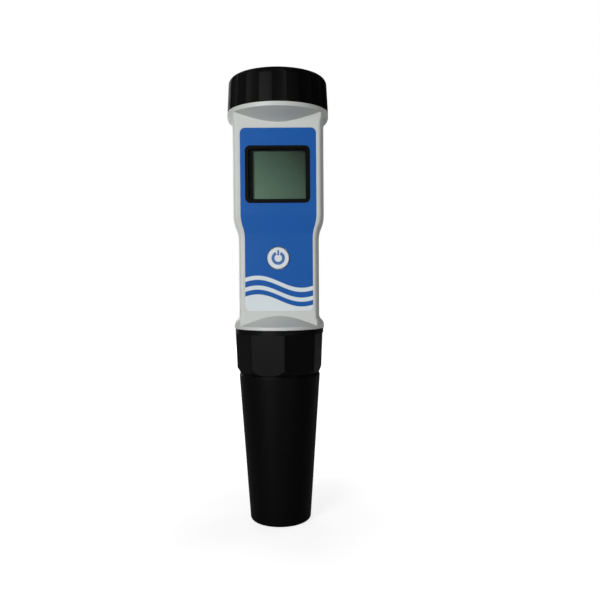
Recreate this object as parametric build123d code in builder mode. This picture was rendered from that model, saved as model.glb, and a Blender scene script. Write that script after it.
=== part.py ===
from build123d import *
import os

os.makedirs("parts", exist_ok=True)

# Pen-type salinity tester standing upright on its protective cap, in millimetres.
# The origin is the centre of the cap's foot, +Z is up and the display faces -Y.

# Heights of the outer pieces, stacked from the foot upwards. The housing's follows from its face.
cover_height = 59.3  # protective cap
nut_height = 17.4  # ring nut that holds the probe
cap_height = 13.3  # battery cap
cover_gap = 0.3  # joint line between protective cap and ring nut
seat_gap = 0.2  # joint line under each screwed rim

# Clearances
running = 0.3  # between pieces that move past each other
fit = 0.1  # between fixed pieces that are pushed together
thread_gap = 0.8  # room for the thread between a neck and its cap
ring_sides = 8  # flats around the section of a seal ring

# Housing, front view: half widths of the waisted outline and the heights where it changes
upper_half = 18.1  # beside the display
collar_out = 1.9  # the upper round collar stands out beyond it
lower_half = 16.05  # beside the key
base_r = 17.9  # lower round collar
base_band = 1.2
base_flare = 4.0
waist_rise = 9.6
collar_band = 1.6
collar_flare = 4.0
draft_in = 1.4  # how far the side walls lean in between the middle and the face

# Housing, side view: the flat face steps back below the display. Heights run upwards along it.
key_height = 27.5
key_to_step = 9.6
step_rise = 7.3
step_to_display = 15.2
display_drop = 25.4
face_upper = 11.0
face_lower = 10.0
step_offset = 2.2
step_round = 4.0
face_edge_r = 1.2
shoulder_slope = 2.3  # run over rise of the sloping shoulder under the upper collar
base_slope = 2.0

# Housing, inside
face_wall = 2.0
neck_r = 17.0
neck_bore_r = 15.4
neck_height = 9.0
ledge_drop = 1.1
lower_bore_r = 13.3
tail_r = 14.0
tail_bore_r = 12.0
tail_height = 10.0
bulkhead_rise = 1.4
bulkhead = 2.4
socket_hole_r = 7.0
notch_width = 4.6
notch_depth = 2.0
neck_chamfer = 0.6

# Label
label_t = 0.25
label_margin_upper = 2.1
label_margin_lower = 1.55
label_shift = 0.25
label_top = 7.7
label_bottom = 7.1
label_corner = 2.0

# Display: the view is the opening that shows, and the pieces around and behind it follow from it
view_w = 20.4
view_h = 18.5
view_corner = 0.3
view_shift = 0.6
window_side = 1.1
window_end = 0.55
display_frame = 1.2
display_corner = 2.0
bezel_lip = 0.7
bezel_step = 1.2
bezel_depth = 2.3
window_t = 0.8
window_sink = 0.6
glass_side = 1.1
glass_end = 1.25
glass_t = 1.7
holder_wall = 1.1
strip_short = 0.4
strip_t = 1.8
strip_edge = 0.3
reflector_gap = 0.7

# Circuit board and what is on it
board_front = 4.4
board_t = 1.6
board_upper = 12.4
board_lower = 11.2
board_top = 9.5
board_bottom = 8.0
board_corner = 1.5
screw_r = 0.95
screw_head_r = 1.9
screw_head = 1.2
screw_l = 5.2
screw_side = 9.0
screw_inset = 2.4
boss_r = 2.2
chip = 9.0
chip_t = 1.3
amp_w = 4.5
amp_h = 5.4
amp_drop = 13.5
can_r = 2.5
can_h = 3.0

# Power key
key_r = 4.2
key_up = 0.5
key_travel = 0.4
key_flange_r = 5.6
key_flange_t = 0.6
key_dish = 0.25
seal_r = 5.1
seal_l = 1.2
switch_w = 6.0
switch_h = 2.2
plunger_r = 1.75
plunger_sink = 0.8

# Batteries and their compartment
cell_r = 5.2
cell_l = 44.5
nub_r = 1.9
nub_l = 0.9
cell_side = 5.9
cell_back = 5.5
cell_gap = 0.25
cell_drop = 1.8
tube_wall = 1.15
tube_floor = 1.5
rim_drop = 1.2
spring_h = 2.2
spring_w = 4.4
strip_metal = 0.3
tail_l = 5.0
spine_half = 9.0
spine_t = 1.8

# Battery cap, its seal and the keyed contact plate
cap_draft = 0.7
cap_round = 2.8
cap_top = 2.3
grip_count = 12
grip_depth = 0.45
grip_r = 14.0
grip_start = -87.0
cap_dish = 0.4
cap_dish_r = 14.5
cap_ring_r = 0.7
cap_ring_in = 0.9
plate_r = 14.6
plate_t = 1.5
pivot_r = 2.2
rivet_r = 1.1
rivet_l = 3.0
rivet_head_r = 3.2
rivet_head = 0.9
bridge_w = 5.0
bridge_over = 2.6
dome_r = 2.2
contact_gap = 0.15
leg_t = 1.2
leg_front_w = 5.0
leg_back_w = 3.2
leg_front_y = -11.6
leg_back_y = 12.9
leg_l = 10.4

# Ring nut
nut_top_r = 17.6
nut_draft = 0.7
nut_flat_count = 8
nut_flat_depth = 1.25
nut_clocking = 7.5
nut_rim = 1.7
nut_chamfer_r = 1.1
nut_chamfer_h = 2.8

# Probe plug, its pins and the socket above it
plug_r = 11.65
plug_height = 8.0
plug_ring_up = 3.8
flange_h = 2.3
collar_r = 12.1
joint_up = 1.8
spigot_r = 9.0
spigot_l = 4.2
lug_width = 4.0
lug_height = 1.6
pin_w = 0.8
pin_pitch = 2.54
pin_count = 4
pin_l = 6.2
socket_gap = 1.2
socket_flange_r = 7.6
socket_flange = 1.6
terminal_l = 6.6

# Probe: seat inside the protective cap, stem, open shroud, electrodes and temperature sensor
probe_ring_r = 0.9
ring_proud = 0.1
groove_room = 0.2
seat_r = 14.2
seat_h = 6.5
seat_lip = 0.6
seat_ring_up = 2.9
seat_cone = 6.0
stem_r = 10.3
probe_l = 42.6
shroud_l = 18.5
core_r = 8.5
core_l = 5.0
vent_count = 4
vent_w = 5.0
vent_h = 9.0
vent_up = 2.5
electrode_r = 1.3
electrode_side = 4.6
electrode_l = 11.0
electrode_in = 4.0
sensor_r = 1.6
sensor_round = 1.3
sensor_y = 4.6
sensor_l = 12.0

# Protective cap
cover_foot_r = 12.1
cover_top_r = 16.15
cover_bevel = 0.8
cover_bevel_r = 0.3
cover_wall = 1.6
cover_floor = 2.2
cover_foot_round = 1.4

# Sizes that follow from those above
top_r = upper_half + collar_out
window_w = view_w + 2 * window_side
window_h = view_h + 2 * window_end
display_w = window_w + 2 * display_frame
display_h = window_h + 2 * display_frame
glass_w = view_w + 2 * glass_side
glass_h = view_h + 2 * glass_end
holder_w = glass_w + 2 * holder_wall
holder_h = glass_h + 2 * holder_wall
strip_l = view_w - strip_short
strip_pitch = glass_h - strip_t - 2 * strip_edge
reflector_h = strip_pitch - strip_t - 2 * reflector_gap

# Levels that follow from the heights
nut_z0 = cover_height + cover_gap
nut_z1 = nut_z0 + nut_height
body_z0 = nut_z1 + seat_gap
key_z = body_z0 + key_height
step_z0 = key_z + key_to_step
step_z1 = step_z0 + step_rise
display_z = step_z1 + step_to_display
body_z1 = display_z + display_drop
cap_z0 = body_z1 + seat_gap
cap_z1 = cap_z0 + cap_height
base_z = body_z0 + base_band
lower_z = base_z + base_flare
waist_z0 = step_z0 - step_offset
waist_z1 = waist_z0 + waist_rise
collar_z = body_z1 - collar_band
upper_z = collar_z - collar_flare
ledge_z = body_z1 - ledge_drop
neck_z1 = body_z1 + neck_height
tail_z0 = body_z0 - tail_height
bulkhead_z = body_z0 + bulkhead_rise
chamber_z = bulkhead_z + bulkhead
board_z0 = body_z0 + board_bottom
board_z1 = body_z1 - board_top
board_back = board_front - board_t
cell_z1 = neck_z1 - cell_drop
cell_z0 = cell_z1 - cell_l
tube_z = cell_z0 - spring_h - fit
tube_r = cell_r + cell_gap + tube_wall
ceiling_z = cap_z1 - cap_top
plate_z1 = ceiling_z - running
plate_z0 = plate_z1 - plate_t
bridge_z = plate_z0 - strip_metal
rivet_z = bridge_z - seat_gap
cap_bore_r = neck_r + thread_gap
cap_ring_at = neck_r - cap_ring_in + cap_ring_r
cap_ring_z = body_z1 + 2 * cap_ring_r + groove_room
flange_z = tail_z0 - flange_h
plug_z1 = tail_z0 + plug_height
joint_z = nut_z0 + joint_up
socket_z = plug_z1 + socket_gap
socket_flange_z = chamber_z + socket_flange
nut_bore_r = tail_r + thread_gap
seat_z = cover_height - seat_h
shroud_z = cover_height - probe_l
stem_z = shroud_z + shroud_l
core_z = stem_z - core_l


def s_curve(start, end):
    """Two equal arcs between two points of an outline, upright at both ends."""
    middle = ((start[0] + end[0]) / 2, (start[1] + end[1]) / 2)
    TangentArc(start, middle, tangent=(0, end[1] - start[1]))
    TangentArc(end, middle, tangent=(0, start[1] - end[1]))


def wall_line(inset, side):
    """One side of the waisted front view, from the lower collar to the upper one."""
    base, lower, upper, top = [side * (r - inset) for r in (base_r, lower_half, upper_half, top_r)]
    Line((base, body_z0), (base, base_z))
    s_curve((base, base_z), (lower, lower_z))
    Line((lower, lower_z), (lower, waist_z0))
    s_curve((lower, waist_z0), (upper, waist_z1))
    Line((upper, waist_z1), (upper, upper_z))
    s_curve((upper, upper_z), (top, collar_z))
    Line((top, collar_z), (top, body_z1))


def face_side(inset, back, top):
    """Side view of what lies between the stepped face, moved inwards by inset, and a flat back."""
    upper = inset - face_upper
    lower = inset - face_lower
    FilletPolyline((upper, top), (upper, step_z1), (lower, step_z0), (lower, body_z0), radius=step_round)
    Polyline((lower, body_z0), (back, body_z0), (back, top), (upper, top))


def turned(*points):
    """Closed half section of a turned piece, as radius and height pairs."""
    Polygon(*points, align=None)


def groove(centre_r, ring_r, z):
    """Half section of a seal groove for a ring of the given centre radius and cord radius."""
    with Locations((centre_r, z)):
        Rectangle(2 * ring_r, 2 * ring_r + groove_room)
        with Locations((ring_r, 0)):
            Rectangle(2 * ring_r, 2 * ring_r + groove_room)


def ring_section(ring_r):
    """Section of a seal ring: a square with chamfered corners, flat against its groove and its bore."""
    RegularPolygon(ring_r, ring_sides, major_radius=False, rotation=180 / ring_sides)


# Housing. The front half is a draughted block with the waisted outline and the stepped face.
with BuildPart() as front_form:
    for distance, inset in ((0, 0), (face_upper, draft_in)):
        with BuildSketch(Plane.XZ.offset(distance)):
            with BuildLine():
                wall_line(inset, 1)
                wall_line(inset, -1)
                Line((inset - base_r, body_z0), (base_r - inset, body_z0))
                Line((inset - top_r, body_z1), (top_r - inset, body_z1))
            make_face()
    loft(ruled=True)
    with BuildSketch(Plane.YZ):
        with BuildLine():
            face_side(0, 0, body_z1)
        make_face()
    extrude(amount=top_r, both=True, mode=Mode.INTERSECT)
    face_edges = [
        edge for edge in front_form.edges()
        if abs(edge.center().X) > lower_half / 2 and edge.center().Y < face_edge_r / 2 - face_lower
    ]
    fillet(face_edges, radius=face_edge_r)
    with BuildSketch(Plane.XZ):
        turned(
            (0, body_z0), (base_r, body_z0), (base_r, waist_z0), (top_r, waist_z0), (top_r, body_z1),
            (0, body_z1),
        )
    revolve(mode=Mode.INTERSECT)

# The hollow inside, drawn upwards through the neck: round behind, flat behind the face
with BuildPart() as chamber:
    with BuildSketch(Plane.XZ):
        turned(
            (0, chamber_z), (lower_bore_r, chamber_z), (lower_bore_r, waist_z0 + fit),
            (neck_bore_r, waist_z1 + fit), (neck_bore_r, neck_z1), (0, neck_z1),
        )
    revolve()
    with BuildSketch(Plane.YZ):
        with BuildLine():
            face_side(face_wall, -top_r, ledge_z)
        make_face()
    extrude(amount=top_r, both=True, mode=Mode.SUBTRACT)

# The label follows the step of the face and the waist of the sides, and lies flush in it
with BuildPart() as label_sheet:
    with BuildSketch(Plane.YZ):
        with BuildLine():
            face_side(0, 0, body_z1)
        make_face()
    extrude(amount=top_r, both=True)
    with BuildSketch(Plane.YZ):
        with BuildLine():
            face_side(label_t, top_r, body_z1)
        make_face()
    extrude(amount=top_r, both=True, mode=Mode.SUBTRACT)
    with BuildSketch(Plane.XZ):
        with BuildLine():
            for side in (1, -1):
                lower = label_shift + side * (lower_half - draft_in - label_margin_lower)
                upper = label_shift + side * (upper_half - draft_in - label_margin_upper)
                Line((lower, body_z0 + label_bottom), (lower, waist_z0))
                s_curve((lower, waist_z0), (upper, waist_z1))
                Line((upper, waist_z1), (upper, body_z1 - label_top))
            Line((lower, body_z0 + label_bottom), (2 * label_shift - lower, body_z0 + label_bottom))
            Line((upper, body_z1 - label_top), (2 * label_shift - upper, body_z1 - label_top))
        make_face()
    extrude(amount=top_r, mode=Mode.INTERSECT)
    corners = label_sheet.edges().filter_by(Axis.Y)
    fillet(corners.group_by(Axis.Z)[0] + corners.group_by(Axis.Z)[-1], radius=label_corner)

with BuildPart() as housing:
    with BuildSketch(Plane.XZ):
        with BuildLine():
            wall_line(0, 1)
            Polyline((base_r, body_z0), (0, body_z0), (0, body_z1), (top_r, body_z1))
        make_face()
    revolve(revolution_arc=180)
    add(front_form.part)
    # Sloping shoulders where the round collars meet the flat face
    with BuildSketch(Plane.XZ):
        turned((0, collar_z - top_r / shoulder_slope), (top_r, collar_z), (top_r, body_z1), (0, body_z1))
        turned((0, base_z + base_r / base_slope), (base_r, base_z), (base_r, body_z0), (0, body_z0))
    revolve()
    # Necks for the battery cap and for the ring nut
    with BuildSketch(Plane.XY.offset(body_z1)):
        Circle(neck_r)
    extrude(amount=neck_height)
    with BuildSketch(Plane.XY.offset(tail_z0)):
        Circle(tail_r)
    extrude(amount=tail_height)
    chamfer(housing.edges().group_by(Axis.Z)[-1] + housing.edges().group_by(Axis.Z)[0], length=neck_chamfer)
    with BuildSketch(Plane.XZ):
        groove(cap_ring_at, cap_ring_r, cap_ring_z)
    revolve(mode=Mode.SUBTRACT)
    # Chamber, probe socket and the hole through the bulkhead between them
    add(chamber.part, mode=Mode.SUBTRACT)
    with BuildSketch(Plane.XY.offset(tail_z0)):
        Circle(tail_bore_r)
    extrude(amount=bulkhead_z - tail_z0, mode=Mode.SUBTRACT)
    with BuildSketch(Plane.XY.offset(tail_z0)):
        Circle(socket_hole_r)
    extrude(amount=chamber_z - tail_z0, mode=Mode.SUBTRACT)
    with BuildSketch(Plane.XY.offset(tail_z0)):
        Rectangle(2 * nut_bore_r, notch_width)
    extrude(amount=notch_depth, mode=Mode.SUBTRACT)
    # Face: label recess, stepped display opening, key hole with a seat for its seal
    add(label_sheet.part, mode=Mode.SUBTRACT)
    with BuildSketch(Plane.XZ.offset(face_upper)):
        with Locations((0, display_z)):
            RectangleRounded(display_w, display_h, display_corner)
    extrude(amount=-bezel_step, mode=Mode.SUBTRACT)
    with BuildSketch(Plane.XZ.offset(face_upper)):
        with Locations((0, display_z)):
            RectangleRounded(display_w - 2 * bezel_lip, display_h - 2 * bezel_lip, display_corner - bezel_lip)
        with Locations((0, key_z)):
            Circle(key_r + running)
    extrude(amount=board_front - face_upper, mode=Mode.SUBTRACT)
    with BuildSketch(Plane.XZ.offset(face_lower - face_wall)):
        with Locations((0, key_z)):
            Circle(seal_r)
    extrude(amount=seal_l, mode=Mode.SUBTRACT)
housing.part.label = "housing"

# Label: printed sheet with openings for the display and the key
with BuildPart() as front_label:
    add(label_sheet.part)
    with BuildSketch(Plane.XZ):
        with Locations((0, display_z)):
            RectangleRounded(display_w, display_h, display_corner)
        with Locations((0, key_z)):
            Circle(key_r + running)
    extrude(amount=top_r, mode=Mode.SUBTRACT)
front_label.part.label = "front_label"

# Display, from the face inwards: bezel, window, glass in its holder, contact strips, reflector
with BuildPart() as display_bezel:
    for depth, lip in ((bezel_step, 0), (bezel_depth, bezel_lip)):
        with BuildSketch(Plane.XZ.offset(face_upper)):
            with Locations((0, display_z)):
                inset = lip + fit
                RectangleRounded(display_w - 2 * inset, display_h - 2 * inset, display_corner - lip)
        extrude(amount=-depth)
    with BuildSketch(Plane.XZ.offset(face_upper)):
        with Locations((0, display_z)):
            RectangleRounded(window_w, window_h, display_corner - bezel_lip)
    extrude(amount=-(window_sink + window_t), mode=Mode.SUBTRACT)
    with BuildSketch(Plane.XZ.offset(face_upper)):
        with Locations((view_shift, display_z)):
            RectangleRounded(view_w, view_h, view_corner)
    extrude(amount=-bezel_depth, mode=Mode.SUBTRACT)
display_bezel.part.label = "display_bezel"

with BuildPart() as display_window:
    with BuildSketch(Plane.XZ.offset(face_upper - window_sink)):
        with Locations((0, display_z)):
            RectangleRounded(window_w - 2 * fit, window_h - 2 * fit, display_corner - bezel_lip - fit)
    extrude(amount=-window_t)
display_window.part.label = "display_window"

glass_y = face_upper - bezel_depth - 2 * fit
with BuildPart() as display_glass:
    with BuildSketch(Plane.XZ.offset(glass_y)):
        with Locations((view_shift, display_z)):
            Rectangle(glass_w, glass_h)
    extrude(amount=-glass_t)
display_glass.part.label = "display_glass"

with BuildPart() as display_holder:
    with BuildSketch(Plane.XZ.offset(board_front)):
        with Locations((0, display_z)):
            RectangleRounded(holder_w, holder_h, display_corner / 2)
    extrude(amount=glass_y - board_front)
    with BuildSketch(Plane.XZ.offset(glass_y)):
        with Locations((view_shift, display_z)):
            Rectangle(glass_w + 2 * fit, glass_h + 2 * fit)
    extrude(amount=-glass_t, mode=Mode.SUBTRACT)
    with BuildSketch(Plane.XZ.offset(board_front)):
        with Locations((view_shift, display_z)):
            Rectangle(strip_l + 2 * fit, strip_pitch + strip_t + 2 * fit)
    extrude(amount=glass_y - glass_t - board_front, mode=Mode.SUBTRACT)
display_holder.part.label = "display_holder"

with BuildPart() as contact_strips:
    with BuildSketch(Plane.XZ.offset(board_front)):
        with Locations((view_shift, display_z)):
            with GridLocations(0, strip_pitch, 1, 2):
                Rectangle(strip_l, strip_t)
    extrude(amount=glass_y - glass_t - board_front)
contact_strips.part.label = "contact_strips"

with BuildPart() as display_reflector:
    with BuildSketch(Plane.XZ.offset(board_front)):
        with Locations((view_shift, display_z)):
            Rectangle(strip_l, reflector_h)
    extrude(amount=glass_y - glass_t - board_front)
display_reflector.part.label = "display_reflector"

# Circuit board: wide behind the display, narrower below the waist
screw_heights = (board_z0 + screw_inset, board_z1 - screw_inset)
screw_places = [(side * screw_side, z) for z in screw_heights for side in (-1, 1)]
with BuildPart() as circuit_board:
    with BuildSketch(Plane.XZ.offset(board_front)):
        with BuildLine():
            for side in (-1, 1):
                Polyline(
                    (0, board_z0), (side * board_lower, board_z0), (side * board_lower, waist_z1),
                    (side * board_upper, waist_z1 + board_corner), (side * board_upper, board_z1),
                    (0, board_z1),
                )
        make_face()
        fillet(vertices().group_by(Axis.Y)[0] + vertices().group_by(Axis.Y)[-1], radius=board_corner)
        with Locations(*screw_places):
            Circle(screw_r + fit, mode=Mode.SUBTRACT)
    extrude(amount=-board_t)
circuit_board.part.label = "circuit_board"

with BuildPart() as board_screws:
    for radius, length in ((screw_head_r, screw_head), (screw_r, -screw_l)):
        with BuildSketch(Plane.XZ.offset(board_front)):
            with Locations(*screw_places):
                Circle(radius)
        extrude(amount=length)
    heads = board_screws.edges().filter_by(GeomType.CIRCLE).group_by(Axis.Y)[0]
    fillet(heads, radius=screw_head / 2)
board_screws.part.label = "board_screws"

# Parts soldered to the board: processor and amplifiers behind, can capacitors and trimmers in front
chip_z = key_z + chip / 2
front_z = key_z + 2 * key_flange_r
with BuildPart() as board_components:
    with BuildSketch(Plane.XZ.offset(board_back)):
        with Locations((0, chip_z)):
            Rectangle(chip, chip)
        with Locations((0, chip_z - amp_drop)):
            with GridLocations(2 * amp_w, 0, 2, 1):
                Rectangle(amp_w, amp_h)
    extrude(amount=-chip_t)
    with BuildSketch(Plane.XZ.offset(board_front)):
        with Locations((board_lower - 2 * can_r, front_z), (board_lower - 2 * can_r, board_z0 + chip)):
            Circle(can_r)
        with Locations((-board_lower / 2, front_z), (-board_lower / 2, board_z0 + chip)):
            Rectangle(amp_w, amp_w)
    extrude(amount=can_h)
board_components.part.label = "board_components"

# Power key: round cap with a flange behind the face, its rubber seal and the switch it presses
flange_y = face_lower - face_wall - fit
switch_y = flange_y - key_flange_t
with BuildPart() as power_key:
    with BuildSketch(Plane.XZ.offset(flange_y)):
        with Locations((0, key_z)):
            Circle(key_r)
    extrude(amount=face_lower + key_up - flange_y)
    chamfer(power_key.edges().group_by(Axis.Y)[0], length=key_dish)
    with BuildSketch(Plane.XZ.offset(flange_y)):
        with Locations((0, key_z)):
            Circle(key_flange_r)
    extrude(amount=-key_flange_t)
power_key.part.label = "power_key"

with BuildPart() as key_seal:
    with BuildSketch(Plane.XZ.offset(face_lower - face_wall)):
        with Locations((0, key_z)):
            Circle(seal_r)
            Circle(key_r + running, mode=Mode.SUBTRACT)
    extrude(amount=seal_l)
key_seal.part.label = "key_seal"

with BuildPart() as power_switch:
    with BuildSketch(Plane.XZ.offset(board_front)):
        with Locations((0, key_z)):
            Rectangle(switch_w, switch_w)
    extrude(amount=switch_h)
    with BuildSketch(Plane.XZ.offset(board_front + switch_h)):
        with Locations((0, key_z)):
            Circle(plunger_r + running)
    extrude(amount=-(plunger_sink + key_travel + running), mode=Mode.SUBTRACT)
power_switch.part.label = "power_switch"

with BuildPart() as switch_plunger:
    with BuildSketch(Plane.XZ.offset(switch_y)):
        with Locations((0, key_z)):
            Circle(plunger_r)
    extrude(amount=board_front + switch_h - plunger_sink - switch_y)
switch_plunger.part.label = "switch_plunger"

# Chassis: two open battery tubes hang from a round deck in the neck, and a spine carries the board
cell_places = [(side * cell_side, cell_back) for side in (-1, 1)]
deck_z1 = neck_z1 - rim_drop
with BuildPart() as chassis:
    with BuildSketch(Plane.XY.offset(ledge_z)):
        Circle(neck_bore_r - running)
    extrude(amount=deck_z1 - ledge_z)
    with BuildSketch(Plane.XY.offset(tube_z - tube_floor)):
        with Locations(*cell_places):
            Circle(tube_r)
        with Locations((0, cell_back)):
            Rectangle(2 * cell_side, 2 * tube_r)
    extrude(amount=ledge_z - tube_z + tube_floor)
    with BuildSketch(Plane.XZ.offset(spine_t / 2)):
        with Locations((0, (socket_flange_z + tube_z) / 2)):
            Rectangle(2 * spine_half, tube_z - socket_flange_z)
    extrude(amount=-spine_t)
    with BuildSketch(Plane.XZ.offset(board_back)):
        with Locations(*screw_places):
            Circle(boss_r)
    extrude(amount=-board_back)
    # Bores for the cells, guide slots for the contact plate, windows for the springs, screw bores
    with BuildSketch(Plane.XY.offset(tube_z)):
        with Locations(*cell_places):
            Circle(cell_r + cell_gap)
    extrude(amount=deck_z1 - tube_z, mode=Mode.SUBTRACT)
    with BuildSketch(Plane.XY.offset(ledge_z)):
        for width, y in ((leg_front_w, leg_front_y), (leg_back_w, leg_back_y)):
            with Locations((0, y)):
                Rectangle(width + 2 * running, leg_t + 2 * running)
    extrude(amount=deck_z1 - ledge_z, mode=Mode.SUBTRACT)
    with BuildSketch(Plane.XZ.offset(board_back)):
        with Locations((0, tube_z)):
            with GridLocations(2 * cell_side, 0, 2, 1):
                Rectangle(spring_w + 2 * fit, 4 * strip_metal)
    extrude(amount=-board_back - cell_back, mode=Mode.SUBTRACT)
    with BuildSketch(Plane.XZ.offset(board_back)):
        with Locations(*screw_places):
            Circle(screw_r + fit / 2)
    extrude(amount=-(screw_l - board_t + running), mode=Mode.SUBTRACT)
chassis.part.label = "chassis"

# Battery springs: a folded leaf under each cell, with a tail soldered to the board
with BuildPart() as battery_springs:
    for side in (-1, 1):
        with BuildSketch(Plane.YZ.offset(side * cell_side)):
            Polygon(
                (-board_back, tube_z - tail_l), (-board_back, tube_z + strip_metal),
                (cell_back + spring_h, tube_z + strip_metal), (cell_back + spring_h, tube_z),
                (strip_metal - board_back, tube_z), (strip_metal - board_back, tube_z - tail_l), align=None,
            )
            Polygon(
                (cell_back + spring_h - 2 * strip_metal, tube_z + strip_metal),
                (cell_back + spring_h, tube_z + strip_metal), (cell_back - spring_h, tube_z + spring_h),
                (cell_back - spring_h - 2 * strip_metal, tube_z + spring_h), align=None,
            )
        extrude(amount=spring_w / 2, both=True)
battery_springs.part.label = "battery_springs"

# Two cells side by side, one with its button up and one with its button down
with BuildPart() as battery_cells:
    for side, can_z, nub_z in ((-1, cell_z0, cell_z1 - nub_l), (1, cell_z0 + nub_l, cell_z0)):
        for radius, z, length in ((cell_r, can_z, cell_l - nub_l), (nub_r, nub_z, nub_l)):
            with BuildSketch(Plane.XY.offset(z)):
                with Locations((side * cell_side, cell_back)):
                    Circle(radius)
            extrude(amount=length)
battery_cells.part.label = "battery_cells"

# Seal between housing and battery cap
with BuildPart() as cap_seal:
    with BuildSketch(Plane.XZ):
        with Locations((cap_ring_at, cap_ring_z)):
            ring_section(cap_ring_r)
    revolve()
cap_seal.part.label = "cap_seal"

# Battery cap: tapering, with shallow finger grips all round and a rounded top edge
with BuildPart() as battery_cap:
    for z, radius in ((cap_z0, top_r), (cap_z1, top_r - cap_draft)):
        with BuildSketch(Plane.XY.offset(z)):
            Circle(radius)
            with PolarLocations(radius - grip_depth + grip_r, grip_count, start_angle=grip_start):
                Circle(grip_r, mode=Mode.SUBTRACT)
    loft(ruled=True)
    with BuildSketch(Plane.XZ):
        with BuildLine():
            FilletPolyline((top_r, cap_z0), (top_r - cap_draft, cap_z1), (0, cap_z1), radius=cap_round)
            Polyline((0, cap_z1), (0, cap_z0), (top_r, cap_z0))
        make_face()
    revolve(mode=Mode.INTERSECT)
    with BuildSketch(Plane.XZ):
        turned(
            (0, cap_z0), (cap_bore_r, cap_z0), (cap_bore_r, ceiling_z - thread_gap),
            (cap_bore_r - thread_gap, ceiling_z), (0, ceiling_z),
        )
        turned(
            (0, cap_z1 - cap_dish), (cap_dish_r - cap_dish, cap_z1 - cap_dish), (cap_dish_r, cap_z1),
            (0, cap_z1),
        )
    revolve(mode=Mode.SUBTRACT)
    with BuildSketch(Plane.XY.offset(rivet_z)):
        Circle(pivot_r)
    extrude(amount=ceiling_z - rivet_z)
    with BuildSketch(Plane.XY.offset(rivet_z)):
        Circle(rivet_r)
    extrude(amount=rivet_l, mode=Mode.SUBTRACT)
battery_cap.part.label = "battery_cap"

with BuildPart() as cap_rivet:
    with BuildSketch(Plane.XY.offset(rivet_z)):
        Circle(rivet_r - fit / 2)
    extrude(amount=rivet_l - running)
    with BuildSketch(Plane.XY.offset(rivet_z - rivet_head)):
        Circle(rivet_head_r)
    extrude(amount=rivet_head)
    fillet(cap_rivet.edges().group_by(Axis.Z)[0], radius=rivet_head / 2)
cap_rivet.part.label = "cap_rivet"

# Contact plate: hangs on the rivet and doesn't turn, because two legs slide in the chassis
with BuildPart() as contact_plate:
    with BuildSketch(Plane.XY.offset(plate_z0)):
        Circle(plate_r)
        Circle(pivot_r + running, mode=Mode.SUBTRACT)
    extrude(amount=plate_t)
    with BuildSketch(Plane.XY.offset(plate_z0)):
        for width, y in ((leg_front_w, leg_front_y), (leg_back_w, leg_back_y)):
            with Locations((0, y)):
                Rectangle(width, leg_t)
    extrude(amount=-leg_l)
contact_plate.part.label = "contact_plate"

with BuildPart() as bridge_contact:
    with BuildSketch(Plane.XY.offset(cell_z1 + contact_gap)):
        with Locations(*cell_places):
            Circle(dome_r)
    extrude(amount=bridge_z - cell_z1 - contact_gap)
    fillet(bridge_contact.edges().group_by(Axis.Z)[0], radius=dome_r / 2)
    with BuildSketch(Plane.XY.offset(plate_z0)):
        with Locations((0, cell_back)):
            RectangleRounded(2 * (cell_side + bridge_over), bridge_w, bridge_w / 3)
    extrude(amount=-strip_metal)
bridge_contact.part.label = "bridge_contact"

# Socket for the probe's pins, seated on the bulkhead, with its terminals soldered to the board
pin_y = -board_back + pin_w / 2
with BuildPart() as probe_socket:
    with BuildSketch(Plane.XY.offset(socket_z)):
        Circle(socket_hole_r - fit)
    extrude(amount=socket_flange_z - socket_z)
    with BuildSketch(Plane.XY.offset(chamber_z)):
        Circle(socket_flange_r)
    extrude(amount=socket_flange)
    with BuildSketch(Plane.XY.offset(socket_z)):
        with Locations((0, pin_y)):
            with GridLocations(pin_pitch, 0, pin_count, 1):
                Rectangle(pin_w + 2 * running, pin_w + 2 * running)
    extrude(amount=socket_flange_z - socket_z - pin_w, mode=Mode.SUBTRACT)
probe_socket.part.label = "probe_socket"

with BuildPart() as socket_terminals:
    with BuildSketch(Plane.XY.offset(socket_flange_z)):
        with Locations((0, pin_y)):
            with GridLocations(pin_pitch, 0, pin_count, 1):
                Rectangle(pin_w, pin_w)
    extrude(amount=terminal_l)
socket_terminals.part.label = "socket_terminals"

# Probe plug: keyed by two lugs in the housing's notches and clamped by the ring nut
with BuildPart() as probe_plug:
    with BuildSketch(Plane.XZ):
        turned(
            (0, joint_z - spigot_l), (spigot_r, joint_z - spigot_l), (spigot_r, joint_z), (collar_r, joint_z),
            (collar_r, flange_z), (nut_bore_r - running, flange_z),
            (nut_bore_r - running, tail_z0),
            (plug_r, tail_z0), (plug_r, plug_z1 - neck_chamfer), (plug_r - neck_chamfer, plug_z1), (0, plug_z1),
        )
    revolve()
    with BuildSketch(Plane.XZ):
        groove(plug_r + ring_proud - probe_ring_r, probe_ring_r, tail_z0 + plug_ring_up)
    revolve(mode=Mode.SUBTRACT)
    with BuildSketch(Plane.XY.offset(tail_z0)):
        Rectangle(2 * (tail_r - fit), lug_width)
        Circle(plug_r - fit, mode=Mode.SUBTRACT)
    extrude(amount=lug_height)
probe_plug.part.label = "probe_plug"

with BuildPart() as plug_seal:
    with BuildSketch(Plane.XZ):
        with Locations((plug_r + ring_proud - probe_ring_r, tail_z0 + plug_ring_up)):
            ring_section(probe_ring_r)
    revolve()
plug_seal.part.label = "plug_seal"

with BuildPart() as connector_pins:
    with BuildSketch(Plane.XY.offset(plug_z1)):
        with Locations((0, pin_y)):
            with GridLocations(pin_pitch, 0, pin_count, 1):
                Rectangle(pin_w, pin_w)
    extrude(amount=pin_l)
    chamfer(connector_pins.edges().group_by(Axis.Z)[-1], length=pin_w / 4)
connector_pins.part.label = "connector_pins"

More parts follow.
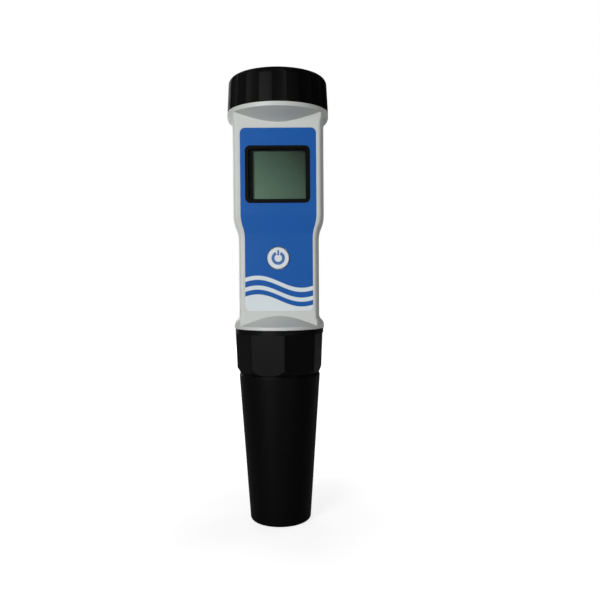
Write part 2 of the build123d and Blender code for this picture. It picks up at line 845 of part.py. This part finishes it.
# Ring nut: flats all round under a plain rim, chamfered towards the protective cap
with BuildPart() as ring_nut:
    for z, radius in ((nut_z0, nut_top_r - nut_draft), (nut_z1, nut_top_r)):
        with BuildSketch(Plane.XY.offset(z)):
            Circle(radius)
            RegularPolygon(
                radius - nut_flat_depth, nut_flat_count, major_radius=False, rotation=nut_clocking,
                mode=Mode.INTERSECT,
            )
    loft(ruled=True)
    with BuildSketch(Plane.XY.offset(nut_z1 - nut_rim)):
        Circle(nut_top_r)
    extrude(amount=nut_rim)
    with BuildSketch(Plane.XZ):
        turned(
            (0, nut_z0), (nut_top_r - nut_draft - nut_chamfer_r, nut_z0), (nut_top_r, nut_z0 + nut_chamfer_h),
            (nut_top_r, nut_z1), (0, nut_z1),
        )
    revolve(mode=Mode.INTERSECT)
    with BuildSketch(Plane.XY.offset(nut_z0)):
        Circle(collar_r + running)
    extrude(amount=nut_height, mode=Mode.SUBTRACT)
    with BuildSketch(Plane.XY.offset(flange_z - seat_gap)):
        Circle(nut_bore_r)
    extrude(amount=nut_z1 - flange_z + seat_gap, mode=Mode.SUBTRACT)
ring_nut.part.label = "ring_nut"

# Probe body: collar through the ring nut, seat for the protective cap, stem and insulating core
electrode_places = [(side * electrode_side, 0) for side in (-1, 1)]
with BuildPart() as probe_body:
    with BuildSketch(Plane.XZ):
        turned(
            (0, core_z), (core_r, core_z), (core_r, stem_z), (stem_r, stem_z), (stem_r, seat_z - seat_cone),
            (seat_r - seat_lip, seat_z), (seat_r, seat_z), (seat_r, cover_height), (collar_r, cover_height),
            (collar_r, joint_z), (spigot_r + fit, joint_z), (spigot_r + fit, joint_z - spigot_l),
            (0, joint_z - spigot_l),
        )
    revolve()
    with BuildSketch(Plane.XZ):
        groove(seat_r + ring_proud - probe_ring_r, probe_ring_r, seat_z + seat_ring_up)
    revolve(mode=Mode.SUBTRACT)
    with BuildSketch(Plane.XY.offset(core_z)):
        with Locations(*electrode_places):
            Circle(electrode_r + fit / 2)
        with Locations((0, sensor_y)):
            Circle(sensor_r + fit / 2)
    extrude(amount=electrode_in, mode=Mode.SUBTRACT)
probe_body.part.label = "probe_body"

with BuildPart() as probe_seal:
    with BuildSketch(Plane.XZ):
        with Locations((seat_r + ring_proud - probe_ring_r, seat_z + seat_ring_up)):
            ring_section(probe_ring_r)
    revolve()
probe_seal.part.label = "probe_seal"

# Shroud: open at the end and vented at the sides, so that the sample flows past the electrodes
with BuildPart() as probe_shroud:
    with BuildSketch(Plane.XY.offset(shroud_z)):
        Circle(stem_r)
        Circle(core_r + fit, mode=Mode.SUBTRACT)
    extrude(amount=shroud_l)
    fillet(probe_shroud.edges().group_by(Axis.Z)[0].sort_by(SortBy.LENGTH)[-1], radius=(stem_r - core_r) / 3)
    for turn in range(vent_count):
        with BuildSketch(Plane.XZ.rotated((0, 0, 45 + turn * 360 / vent_count))):
            with Locations((0, shroud_z + vent_up + vent_h / 2)):
                SlotOverall(vent_h, vent_w, rotation=90)
        extrude(amount=stem_r, mode=Mode.SUBTRACT)
probe_shroud.part.label = "probe_shroud"

with BuildPart() as electrodes:
    with BuildSketch(Plane.XY.offset(core_z + electrode_in)):
        with Locations(*electrode_places):
            Circle(electrode_r)
    extrude(amount=-(electrode_in + electrode_l))
    fillet(electrodes.edges().group_by(Axis.Z)[0], radius=electrode_r / 2)
electrodes.part.label = "electrodes"

with BuildPart() as temperature_sensor:
    with BuildSketch(Plane.XY.offset(core_z + electrode_in)):
        with Locations((0, sensor_y)):
            Circle(sensor_r)
    extrude(amount=-(electrode_in + sensor_l))
    fillet(temperature_sensor.edges().group_by(Axis.Z)[0], radius=sensor_round)
temperature_sensor.part.label = "temperature_sensor"

# Protective cap: long tapering cup with a flat foot and a bore that slides over the probe's seat
rim_z = cover_height - cover_bevel
ledge_seat_z = seat_z - seat_gap
ledge_outer = cover_foot_r + (cover_top_r - cover_foot_r) * ledge_seat_z / rim_z
with BuildPart() as protective_cap:
    with BuildSketch(Plane.XZ):
        turned(
            (0, 0), (cover_foot_r, 0), (cover_top_r, rim_z), (cover_top_r - cover_bevel_r, cover_height),
            (0, cover_height),
        )
    revolve()
    fillet(protective_cap.edges().group_by(Axis.Z)[0], radius=cover_foot_round)
    with BuildSketch(Plane.XZ):
        turned(
            (0, cover_floor), (cover_foot_r - cover_wall, cover_floor), (ledge_outer - cover_wall, ledge_seat_z),
            (seat_r + running, ledge_seat_z), (seat_r + running, cover_height), (0, cover_height),
        )
    revolve(mode=Mode.SUBTRACT)
    fillet(protective_cap.edges().filter_by_position(Axis.Z, cover_floor, cover_floor), radius=cover_foot_round)
protective_cap.part.label = "protective_cap"

# Every separate piece, from the face of the housing inwards and then along the axis
pieces = (
    housing, front_label, display_bezel, display_window, display_glass, display_holder, contact_strips,
    display_reflector, circuit_board, board_components, board_screws, power_key, key_seal, power_switch,
    switch_plunger, chassis, battery_springs, battery_cells, cap_seal, battery_cap, cap_rivet, contact_plate,
    bridge_contact, probe_socket, socket_terminals, probe_plug, plug_seal, connector_pins, ring_nut, probe_body,
    probe_seal, probe_shroud, electrodes, temperature_sensor, protective_cap,
)
for piece in pieces:
    export_step(piece.part, f"parts/{piece.part.label}.step")
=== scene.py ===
import math

import bpy
from mathutils import Matrix, Vector


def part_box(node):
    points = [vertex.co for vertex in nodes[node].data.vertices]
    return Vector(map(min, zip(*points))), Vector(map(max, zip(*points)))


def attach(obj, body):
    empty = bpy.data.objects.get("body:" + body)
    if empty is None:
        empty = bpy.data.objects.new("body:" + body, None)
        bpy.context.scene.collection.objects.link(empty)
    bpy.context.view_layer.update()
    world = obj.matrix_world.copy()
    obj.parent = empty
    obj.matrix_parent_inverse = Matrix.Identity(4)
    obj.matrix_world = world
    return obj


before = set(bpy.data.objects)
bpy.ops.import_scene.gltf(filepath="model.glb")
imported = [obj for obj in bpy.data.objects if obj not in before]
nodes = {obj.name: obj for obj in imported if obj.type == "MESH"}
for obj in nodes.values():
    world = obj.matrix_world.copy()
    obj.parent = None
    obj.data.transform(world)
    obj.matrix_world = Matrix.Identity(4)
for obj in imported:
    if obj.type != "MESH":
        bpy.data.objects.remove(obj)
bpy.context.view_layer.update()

# Camera: stands 26 cm in front of the tester, a little to the +X side of its axis. It looks slightly down
# and past the axis on that side, and is rolled a little, so that the tester leans left.
camera_distance = 0.264
camera_azimuth = math.radians(1.41)
camera_height = 0.0964
pitch_down = math.radians(1.79)
look_past = math.radians(1.81)
roll = math.radians(0.40)
focal_length_mm = 39.39
sensor_width_mm = 36.0
near_limit = 0.01

camera = bpy.data.objects.new("camera", bpy.data.cameras.new("camera"))
camera.data.lens = focal_length_mm
camera.data.sensor_width = sensor_width_mm
camera.data.clip_start = near_limit
camera_x = camera_distance * math.sin(camera_azimuth)
camera_y = -camera_distance * math.cos(camera_azimuth)
camera.matrix_world = (
    Matrix.Translation((camera_x, camera_y, camera_height))
    @ Matrix.Rotation(camera_azimuth - look_past, 4, "Z")
    @ Matrix.Rotation(math.pi / 2 - pitch_down, 4, "X")
    @ Matrix.Rotation(-roll, 4, "Z")
)
bpy.context.scene.collection.objects.link(camera)
bpy.context.scene.camera = camera
bpy.context.scene.view_settings.view_transform = "Standard"

# Studio: a sweep of white paper, in a room that is brighter on the left. The camera sees the room and the
# far paper as pure white, and the paper near the tester a little darker, so that the tester's shadow
# shows on it.
bright_x = -0.9
dim_x = 0.75
bright_strength = 0.26
dim_strength = 0.04


def add_node(tree, kind, **inputs):
    """A node with the given inputs set. An underscore in an input's name stands for a space."""
    node = tree.nodes.new(kind)
    for label, amount in inputs.items():
        node.inputs[label.replace("_", " ")].default_value = amount
    return node


def calc(tree, operation, first, second=0.0):
    """The result of a math node on two values or sockets."""
    node = add_node(tree, "ShaderNodeMath")
    node.operation = operation
    for socket, given in zip(node.inputs, (first, second)):
        if isinstance(given, (int, float)):
            socket.default_value = given
        else:
            tree.links.new(given, socket)
    return node.outputs["Value"]


def smooth_step(tree, value, start, end, low, high):
    """A smooth step from low, where value is at start, to high, where value is at end."""
    node = add_node(tree, "ShaderNodeMapRange", From_Min=start, From_Max=end, To_Min=low, To_Max=high)
    node.interpolation_type = "SMOOTHSTEP"
    tree.links.new(value, node.inputs["Value"])
    return node.outputs["Result"]


world = bpy.data.worlds.new("studio")
world.use_nodes = True
bpy.context.scene.world = world
wires = world.node_tree
wires.nodes.clear()
direction = add_node(wires, "ShaderNodeTexCoord")
sides = add_node(wires, "ShaderNodeSeparateXYZ")
wires.links.new(direction.outputs["Generated"], sides.inputs["Vector"])
room = add_node(wires, "ShaderNodeBackground")
strength = smooth_step(wires, sides.outputs["X"], bright_x, dim_x, bright_strength, dim_strength)
wires.links.new(strength, room.inputs["Strength"])
sweep = add_node(wires, "ShaderNodeBackground", Color=(1.0, 1.0, 1.0, 1.0))
rays = add_node(wires, "ShaderNodeLightPath")
seen = calc(wires, "MAXIMUM", rays.outputs["Is Camera Ray"], rays.outputs["Is Transmission Ray"])
choose = add_node(wires, "ShaderNodeMixShader")
wires.links.new(seen, choose.inputs["Fac"])
wires.links.new(room.outputs["Background"], choose.inputs[1])
wires.links.new(sweep.outputs["Background"], choose.inputs[2])
world_out = add_node(wires, "ShaderNodeOutputWorld")
wires.links.new(choose.outputs["Shader"], world_out.inputs["Surface"])

floor_half = 3.0
paper_grey = 0.40
paper_roughness = 0.9
near_radius = 0.02
far_radius = 0.12
near_glow = 0.78
far_glow = 1.0
floor_mesh = bpy.data.meshes.new("floor")
corners = [(x * floor_half, y * floor_half, 0.0) for x, y in ((-1, -1), (1, -1), (1, 1), (-1, 1))]
floor_mesh.from_pydata(corners, [], [(0, 1, 2, 3)])
floor = bpy.data.objects.new("floor", floor_mesh)
bpy.context.scene.collection.objects.link(floor)
floor_finish = bpy.data.materials.new("white sweep")
floor_finish.use_nodes = True
wires = floor_finish.node_tree
paper = wires.nodes["Principled BSDF"]
paper.inputs["Base Color"].default_value = (paper_grey, paper_grey, paper_grey, 1.0)
paper.inputs["Roughness"].default_value = paper_roughness
paper.inputs["Specular IOR Level"].default_value = 0.0
paper.inputs["Emission Color"].default_value = (1.0, 1.0, 1.0, 1.0)
rays = add_node(wires, "ShaderNodeLightPath")
place = add_node(wires, "ShaderNodeTexCoord")
distance = add_node(wires, "ShaderNodeVectorMath")
distance.operation = "LENGTH"
wires.links.new(place.outputs["Object"], distance.inputs["Vector"])
spread = smooth_step(wires, distance.outputs["Value"], near_radius, far_radius, near_glow, far_glow)
glow = calc(wires, "MULTIPLY", rays.outputs["Is Camera Ray"], spread)
wires.links.new(glow, paper.inputs["Emission Strength"])
floor.data.materials.append(floor_finish)

# Lights: a large soft box from the front left, a weak fill from the front right, and one behind on each
# side, to lift the tester's edges and back.
aim = Vector((0.0, 0.0, 0.09))


def soft_box(name, place, width, height, watts, mirrored=True):
    """A rectangular soft box, turned towards the tester. Glossy surfaces show it where mirrored is set."""
    lamp = bpy.data.lights.new(name, "AREA")
    lamp.shape = "RECTANGLE"
    lamp.size = width
    lamp.size_y = height
    lamp.energy = watts
    holder = bpy.data.objects.new(name, lamp)
    holder.location = place
    holder.rotation_euler = (aim - Vector(place)).to_track_quat("-Z", "Y").to_euler()
    holder.visible_camera = False
    holder.visible_glossy = mirrored
    bpy.context.scene.collection.objects.link(holder)


soft_box("key_light", (-0.30, -0.54, 0.14), width=0.26, height=0.46, watts=3.7)
soft_box("front_fill", (0.26, -0.60, 0.12), width=0.30, height=0.30, watts=0.8)
soft_box("rim_light", (0.50, 0.34, 0.20), width=0.40, height=0.50, watts=1.4, mirrored=False)
soft_box("back_light", (-0.20, 0.62, 0.24), width=0.40, height=0.50, watts=1.4)

# Housing: one hollow barrel of moulded plastic, drawn off its core through the neck at the top. It is
# sprayed with a satin silver-grey paint, whose fine grain and cloudiness show close up.
cloud_scale = 90.0
grain_roughness = 0.06


def group_sockets(tree, way, **kinds):
    """Opens a group's sockets on one side, which is INPUT or OUTPUT."""
    for label, kind in kinds.items():
        tree.interface.new_socket(label, in_out=way, socket_type="NodeSocket" + kind)


skin = bpy.data.node_groups.new("moulded skin", "ShaderNodeTree")
group_sockets(skin, "INPUT", Colour="Color", Roughness="Float", Grain="Float", Mottle="Float")
group_sockets(skin, "OUTPUT", Colour="Color", Roughness="Float", Height="Float")
into = add_node(skin, "NodeGroupInput")
out = add_node(skin, "NodeGroupOutput")
place = add_node(skin, "ShaderNodeTexCoord")
fine = add_node(skin, "ShaderNodeTexNoise", Detail=3.0)
clouds = add_node(skin, "ShaderNodeTexNoise", Scale=cloud_scale, Detail=4.0)
swing = add_node(skin, "ShaderNodeMapRange", To_Min=-1.0)
tint = add_node(skin, "ShaderNodeVectorMath")
tint.operation = "SCALE"
speckle = add_node(skin, "ShaderNodeMapRange", To_Min=-grain_roughness, To_Max=grain_roughness)
skin.links.new(place.outputs["Object"], fine.inputs["Vector"])
skin.links.new(into.outputs["Grain"], fine.inputs["Scale"])
skin.links.new(place.outputs["Object"], clouds.inputs["Vector"])
skin.links.new(clouds.outputs["Fac"], swing.inputs["Value"])
blend = calc(skin, "MULTIPLY", swing.outputs["Result"], into.outputs["Mottle"])
skin.links.new(into.outputs["Colour"], tint.inputs["Vector"])
skin.links.new(calc(skin, "ADD", blend, 1.0), tint.inputs["Scale"])
skin.links.new(tint.outputs["Vector"], out.inputs["Colour"])
skin.links.new(fine.outputs["Fac"], speckle.inputs["Value"])
rough = calc(skin, "ADD", speckle.outputs["Result"], into.outputs["Roughness"])
skin.links.new(rough, out.inputs["Roughness"])
skin.links.new(fine.outputs["Fac"], out.inputs["Height"])


def moulded(name, colour, roughness, grain=2500.0, mottle=0.08, relief=0.00002, **sockets):
    """A finish with fine grain and slight clouds. grain is in specks a metre and relief in metres."""
    material = bpy.data.materials.new(name)
    material.use_nodes = True
    tree = material.node_tree
    shader = tree.nodes["Principled BSDF"]
    surface = add_node(tree, "ShaderNodeGroup")
    surface.name = "skin"
    surface.node_tree = skin
    surface.inputs["Colour"].default_value = (*colour, 1.0)
    surface.inputs["Roughness"].default_value = roughness
    surface.inputs["Grain"].default_value = grain
    surface.inputs["Mottle"].default_value = mottle
    bump = add_node(tree, "ShaderNodeBump", Distance=relief)
    tree.links.new(surface.outputs["Colour"], shader.inputs["Base Color"])
    tree.links.new(surface.outputs["Roughness"], shader.inputs["Roughness"])
    tree.links.new(surface.outputs["Height"], bump.inputs["Height"])
    tree.links.new(bump.outputs["Normal"], shader.inputs["Normal"])
    for socket, amount in sockets.items():
        shader.inputs[socket.replace("_", " ")].default_value = amount
    return material


def dress(material, *names):
    """Gives CAD pieces their finish."""
    for name in names:
        for holder in nodes[name].material_slots:
            holder.material = material


silver_paint = moulded(
    "silver grey paint", (0.50, 0.52, 0.50), roughness=0.46, grain=3200.0, mottle=0.03, relief=0.000012
)
dress(silver_paint, "housing")

# Threads: coarse right-hand ridges, moulded on both necks of the housing, in the battery cap and in the
# ring nut. Their pitch is what the cap or nut travels in one turn. Each has the finish of the piece that
# carries it.
thread_pitch = 0.003
ridge_radius = 0.00055
steps_per_turn = 72
ridge_sides = 6
thread_tree = bpy.data.node_groups.new("thread ridge", "GeometryNodeTree")
group_sockets(
    thread_tree, "INPUT",
    Radius="Float", Turns="Float", Pitch="Float", Ridge="Float", Foot="Float", Finish="Material",
)
group_sockets(thread_tree, "OUTPUT", Geometry="Geometry")
into = add_node(thread_tree, "NodeGroupInput")
out = add_node(thread_tree, "NodeGroupOutput")
spiral = add_node(thread_tree, "GeometryNodeCurveSpiral", Resolution=steps_per_turn, Reverse=True)
profile = add_node(thread_tree, "GeometryNodeCurvePrimitiveCircle", Resolution=ridge_sides)
ridge = add_node(thread_tree, "GeometryNodeCurveToMesh", Fill_Caps=True)
lift = add_node(thread_tree, "ShaderNodeCombineXYZ")
move = add_node(thread_tree, "GeometryNodeTransform")
realise = add_node(thread_tree, "GeometryNodeRealizeInstances")
paint = add_node(thread_tree, "GeometryNodeSetMaterial")
rise = calc(thread_tree, "MULTIPLY", into.outputs["Turns"], into.outputs["Pitch"])
thread_tree.links.new(into.outputs["Radius"], spiral.inputs["Start Radius"])
thread_tree.links.new(into.outputs["Radius"], spiral.inputs["End Radius"])
thread_tree.links.new(into.outputs["Turns"], spiral.inputs["Rotations"])
thread_tree.links.new(rise, spiral.inputs["Height"])
thread_tree.links.new(into.outputs["Ridge"], profile.inputs["Radius"])
thread_tree.links.new(spiral.outputs["Curve"], ridge.inputs["Curve"])
thread_tree.links.new(profile.outputs["Curve"], ridge.inputs["Profile Curve"])
thread_tree.links.new(ridge.outputs["Mesh"], move.inputs["Geometry"])
thread_tree.links.new(into.outputs["Foot"], lift.inputs["Z"])
thread_tree.links.new(lift.outputs["Vector"], move.inputs["Translation"])
thread_tree.links.new(move.outputs["Geometry"], realise.inputs["Geometry"])
thread_tree.links.new(realise.outputs["Geometry"], paint.inputs["Geometry"])
thread_tree.links.new(into.outputs["Finish"], paint.inputs["Material"])
thread_tree.links.new(paint.outputs["Geometry"], out.inputs["Geometry"])


def settle(name, tree, settings):
    """Runs a geometry tree with the given inputs and keeps its result as a plain mesh object."""
    holder = bpy.data.objects.new(name + "_maker", bpy.data.meshes.new(name + "_maker"))
    bpy.context.scene.collection.objects.link(holder)
    modifier = holder.modifiers.new("maker", "NODES")
    modifier.node_group = tree
    sockets = {
        item.name: item.identifier
        for item in tree.interface.items_tree
        if getattr(item, "in_out", "") == "INPUT"
    }
    for label, amount in settings.items():
        modifier[sockets[label]] = amount
    bpy.context.view_layer.update()
    graph = bpy.context.evaluated_depsgraph_get()
    mesh = bpy.data.meshes.new_from_object(holder.evaluated_get(graph), depsgraph=graph)
    bpy.data.objects.remove(holder)
    mesh.name = name
    piece = bpy.data.objects.new(name, mesh)
    bpy.context.scene.collection.objects.link(piece)
    return piece


def thread(name, radius, turns, foot, finish, body):
    """One helical ridge on a neck or in a bore. Radius and foot are those of its middle line."""
    piece = settle(name, thread_tree, {
        "Radius": radius, "Turns": turns, "Pitch": thread_pitch, "Ridge": ridge_radius, "Foot": foot,
        "Finish": finish,
    })
    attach(piece, body)


housing_low, housing_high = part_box("housing")
neck_r = 0.0170
neck_turns = 1.5
neck_foot_drop = 0.0062
neck_foot = housing_high.z - neck_foot_drop
tail_r = 0.0140
tail_turns = 1.9
tail_foot_rise = 0.0018
tail_foot = housing_low.z + tail_foot_rise
thread("neck_thread", neck_r, neck_turns, neck_foot, silver_paint, "housing")
thread("tail_thread", tail_r, tail_turns, tail_foot, silver_paint, "housing")

# Label: polyester sheet, printed on its back in blue with two white waves above a white foot, and laid
# flush into a recess in the face. It has a satin surface. The waves are placed from the power key, which
# it surrounds.
wave_length = 0.0343
wave_height = 0.0024
wave_start = 0.00045
stripe_half = 0.0008
stripe_drops = (0.0099, 0.0137)
foot_drop = 0.01635
ink_edge = 0.00008
label_blue = (0.003, 0.083, 0.335)
label_white = (0.60, 0.66, 0.68)
key_low, key_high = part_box("power_key")
key_z = (key_low.z + key_high.z) / 2


def object_axes(tree):
    """How far a point is along X, across the face, and along Z, upwards."""
    place = add_node(tree, "ShaderNodeTexCoord")
    axes = add_node(tree, "ShaderNodeSeparateXYZ")
    tree.links.new(place.outputs["Object"], axes.inputs["Vector"])
    return axes.outputs["X"], axes.outputs["Z"]


def ink_mask(tree, distance, limit):
    """1 where distance is under limit, with an edge as soft as ink."""
    return smooth_step(tree, distance, limit - ink_edge, limit + ink_edge, 1.0, 0.0)


def printed(material, mask, ink):
    """Lays ink over a moulded finish where mask is 1; on the display glass it lays painted shade instead."""
    tree = material.node_tree
    mix = add_node(tree, "ShaderNodeMix")
    mix.data_type = "RGBA"
    below, above = [socket for socket in mix.inputs if socket.type == "RGBA"]
    result = [socket for socket in mix.outputs if socket.type == "RGBA"][0]
    above.default_value = (*ink, 1.0)
    tree.links.new(mask, mix.inputs["Factor"])
    tree.links.new(tree.nodes["skin"].outputs["Colour"], below)
    tree.links.new(result, tree.nodes["Principled BSDF"].inputs["Base Color"])


label_finish = moulded(
    "printed blue label", label_blue, roughness=0.36, grain=5000.0, mottle=0.05, relief=0.000006,
    Specular_IOR_Level=0.20,
)
tree = label_finish.node_tree
across, up = object_axes(tree)
phase = calc(tree, "MULTIPLY", calc(tree, "SUBTRACT", across, wave_start), 2 * math.pi / wave_length)
wave = calc(tree, "MULTIPLY", calc(tree, "SINE", phase), wave_height)
height = calc(tree, "ADD", up, wave)
white = ink_mask(tree, height, key_z - foot_drop)
for drop in stripe_drops:
    off_centre = calc(tree, "ABSOLUTE", calc(tree, "SUBTRACT", height, key_z - drop))
    white = calc(tree, "MAXIMUM", white, ink_mask(tree, off_centre, stripe_half))
printed(label_finish, white, label_white)
dress(label_finish, "front_label")

# Display: black bezel pressed into the face, clear window, then the liquid crystal glass in its white
# holder. The glass is grey-green, with painted light towards the lower left and painted shade towards
# the upper right. Rubber strips connect it to the board, and the seals are of the same rubber.
bezel_black = moulded(
    "smooth black bezel", (0.0022, 0.0024, 0.0026), roughness=0.34, grain=4000.0, mottle=0.10,
    relief=0.000004, Specular_IOR_Level=0.07,
)
dress(bezel_black, "display_bezel")

window_clear = moulded(
    "clear window", (0.010, 0.016, 0.013), roughness=0.12, grain=1500.0, mottle=0.05, relief=0.000002,
    Alpha=0.12, Specular_IOR_Level=0.25,
)
dress(window_clear, "display_window")

# Painted light and shade: the glass goes from a painted lit grey-green at the lower left to painted shade at
# the upper right.
glass_painted_light = (0.165, 0.300, 0.200)
glass_painted_shade = (0.006, 0.013, 0.009)
liquid_crystal = moulded(
    "liquid crystal glass", glass_painted_light, roughness=0.28, grain=2600.0, mottle=0.04, relief=0.000002,
    Specular_IOR_Level=0.4,
)
tree = liquid_crystal.node_tree
glass_low, glass_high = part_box("display_glass")
across, up = object_axes(tree)
share_across = calc(tree, "DIVIDE", calc(tree, "SUBTRACT", across, glass_low.x), glass_high.x - glass_low.x)
share_up = calc(tree, "DIVIDE", calc(tree, "SUBTRACT", up, glass_low.z), glass_high.z - glass_low.z)
# Painted shade share: grows from the glass's lower left corner to its upper right corner.
painted_shade = calc(tree, "MULTIPLY", calc(tree, "ADD", share_across, share_up), 0.5)
printed(liquid_crystal, painted_shade, glass_painted_shade)
dress(liquid_crystal, "display_glass")

white_plastic = moulded("white plastic", (0.72, 0.72, 0.69), roughness=0.50)
dress(white_plastic, "display_holder", "display_reflector")

black_rubber = moulded(
    "black rubber", (0.012, 0.012, 0.012), roughness=0.75, grain=1800.0, mottle=0.15, relief=0.00003
)
dress(black_rubber, "contact_strips", "key_seal", "cap_seal", "plug_seal", "probe_seal")

# Power key: round white push key with the power sign printed in blue, a ring that is open at the top with
# a bar in the gap. It is moulded with a flange behind the face and sealed by a rubber ring.
sign_ring = 0.00201
sign_half = 0.00057
sign_gap = math.radians(24)
bar_half = 0.00036
bar_top = 0.0031
bar_foot = 0.0011
sign_blue = (0.035, 0.125, 0.34)
key_white = moulded(
    "white key", (0.62, 0.66, 0.68), roughness=0.38, grain=2600.0, mottle=0.03, Specular_IOR_Level=0.4
)
tree = key_white.node_tree
across, height = object_axes(tree)
up = calc(tree, "SUBTRACT", height, key_z)
radius = calc(tree, "SQRT", calc(tree, "ADD", calc(tree, "POWER", across, 2.0), calc(tree, "POWER", up, 2.0)))
off_ring = calc(tree, "ABSOLUTE", calc(tree, "SUBTRACT", radius, sign_ring))
# The gap is a wedge: inside_gap is above 0 where a point is nearer to the middle line than the wedge's side
beside = calc(tree, "ABSOLUTE", across)
inside_gap = calc(tree, "SUBTRACT", calc(tree, "MULTIPLY", up, math.tan(sign_gap)), beside)
ring = calc(tree, "MULTIPLY", ink_mask(tree, off_ring, sign_half), ink_mask(tree, inside_gap, 0.0))
off_bar = calc(tree, "ABSOLUTE", calc(tree, "SUBTRACT", up, (bar_top + bar_foot) / 2))
bar_side = ink_mask(tree, beside, bar_half)
bar_end = ink_mask(tree, off_bar, (bar_top - bar_foot) / 2)
bar = calc(tree, "MULTIPLY", bar_side, bar_end)
printed(key_white, calc(tree, "MAXIMUM", ring, bar), sign_blue)
dress(key_white, "power_key")

# Electronics behind the face: green board with black components, its screws, the push switch and the
# chassis that carries board and cells. The springs, the bridge and the rivet are plated steel, as the
# screws are.
board_green = moulded("green board lacquer", (0.015, 0.13, 0.05), roughness=0.35, grain=700.0, mottle=0.25)
dress(board_green, "circuit_board")
component_black = moulded("component black", (0.02, 0.02, 0.02), roughness=0.5)
dress(component_black, "board_components", "power_switch", "switch_plunger")
plated_steel = moulded(
    "plated steel", (0.60, 0.60, 0.58), roughness=0.28, grain=4000.0, mottle=0.06, relief=0.000005,
    Metallic=1.0,
)
dress(plated_steel, "board_screws", "battery_springs", "cap_rivet", "bridge_contact")
chassis_grey = moulded("dark grey chassis", (0.06, 0.06, 0.065), roughness=0.55)
dress(chassis_grey, "chassis")
cell_jacket = moulded(
    "cell jacket", (0.05, 0.05, 0.055), roughness=0.25, grain=800.0, mottle=0.12, relief=0.000004
)
dress(cell_jacket, "battery_cells")

# Battery cap: screwed black cap of satin moulded plastic, with shallow finger grips all round and a
# sealing ring. A contact plate hangs under it on a rivet and bridges the two cells. The ridge inside the
# cap runs half a pitch from the neck's.
cap_black = moulded(
    "satin black cap", (0.0020, 0.0016, 0.0016), roughness=0.44, grain=3000.0, mottle=0.20,
    Specular_IOR_Level=0.08,
)
dress(cap_black, "battery_cap")
inner_black = moulded("inner black plastic", (0.02, 0.02, 0.02), roughness=0.55)
dress(inner_black, "contact_plate", "probe_socket")
cap_bore_r = 0.0178
cap_turns = 1.4
cap_foot = neck_foot + thread_pitch / 2
thread("cap_thread", cap_bore_r, cap_turns, cap_foot, cap_black, "battery_cap")

# Probe: plug with gold contacts, drawn onto the housing's tail by the black ring nut with its eight
# flats. The probe's stem ends in a vented shroud around two electrodes and the temperature sensor.
contact_gold = moulded(
    "gold contacts", (0.75, 0.53, 0.20), roughness=0.25, grain=4000.0, mottle=0.05, relief=0.000004,
    Metallic=1.0,
)
dress(contact_gold, "socket_terminals", "connector_pins")
nut_black = moulded(
    "satin black nut", (0.0024, 0.0022, 0.0022), roughness=0.46, grain=3000.0, mottle=0.20,
    Specular_IOR_Level=0.07,
)
dress(nut_black, "ring_nut")
nut_bore_r = 0.0148
nut_turns = 1.6
nut_foot = tail_foot + thread_pitch / 2
thread("nut_thread", nut_bore_r, nut_turns, nut_foot, nut_black, "ring_nut")
probe_black = moulded("probe black", (0.010, 0.010, 0.011), roughness=0.48, Specular_IOR_Level=0.3)
dress(probe_black, "probe_plug", "probe_body", "probe_shroud")
electrode_steel = moulded(
    "polished steel", (0.55, 0.55, 0.54), roughness=0.18, grain=5000.0, mottle=0.05, relief=0.000003,
    Metallic=1.0,
)
dress(electrode_steel, "electrodes", "temperature_sensor")

# Protective cap: long tapering cup of satin black moulded plastic, pushed over the probe's seat and its
# seal. The tester stands on its flat foot.
cover_black = moulded(
    "satin black cover", (0.0020, 0.0017, 0.0017), roughness=0.44, grain=2600.0, mottle=0.20,
    Specular_IOR_Level=0.06,
)
dress(cover_black, "protective_cap")
